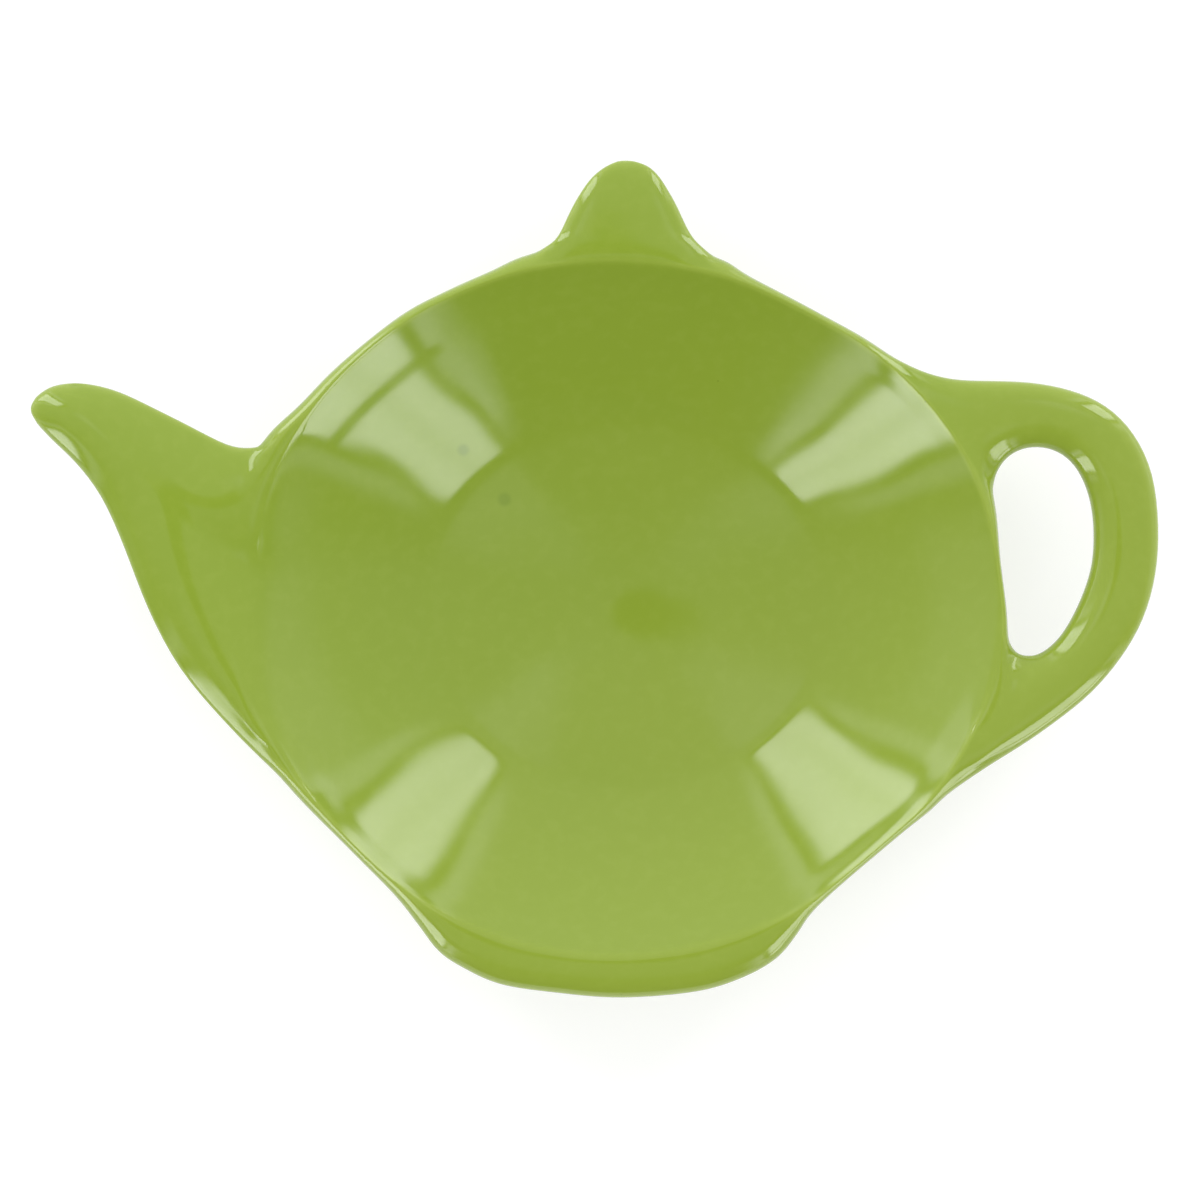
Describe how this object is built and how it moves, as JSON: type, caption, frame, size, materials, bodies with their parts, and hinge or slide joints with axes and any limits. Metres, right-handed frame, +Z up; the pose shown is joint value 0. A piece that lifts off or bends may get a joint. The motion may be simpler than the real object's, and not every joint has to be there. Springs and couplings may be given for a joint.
{
  "type": "tea bag rest",
  "caption": "Small glazed stoneware dish in the outline of a teapot, with a shallow round well, a solid spout, a lid knob, a looped strap handle, a wide front foot and a turned foot ring.",
  "frame": {"origin": "middle of the foot ring's lower face, on the table", "axes": "+Z up, +X from the spout to the handle, +Y from the foot in front to the lid knob at the back"},
  "size_m": [0.1201, 0.0892, 0.019],
  "materials": {
    "stoneware": "bare fired clay",
    "green_glaze": "gloss"
  },
  "bodies": {
    "root": {"dish": "stoneware", "spout": "stoneware", "lid_knob": "stoneware", "handle": "stoneware", "foot_ring": "stoneware", "glaze_coat": "green_glaze", "base_glaze": "green_glaze"}
  },
  "joints": []
}
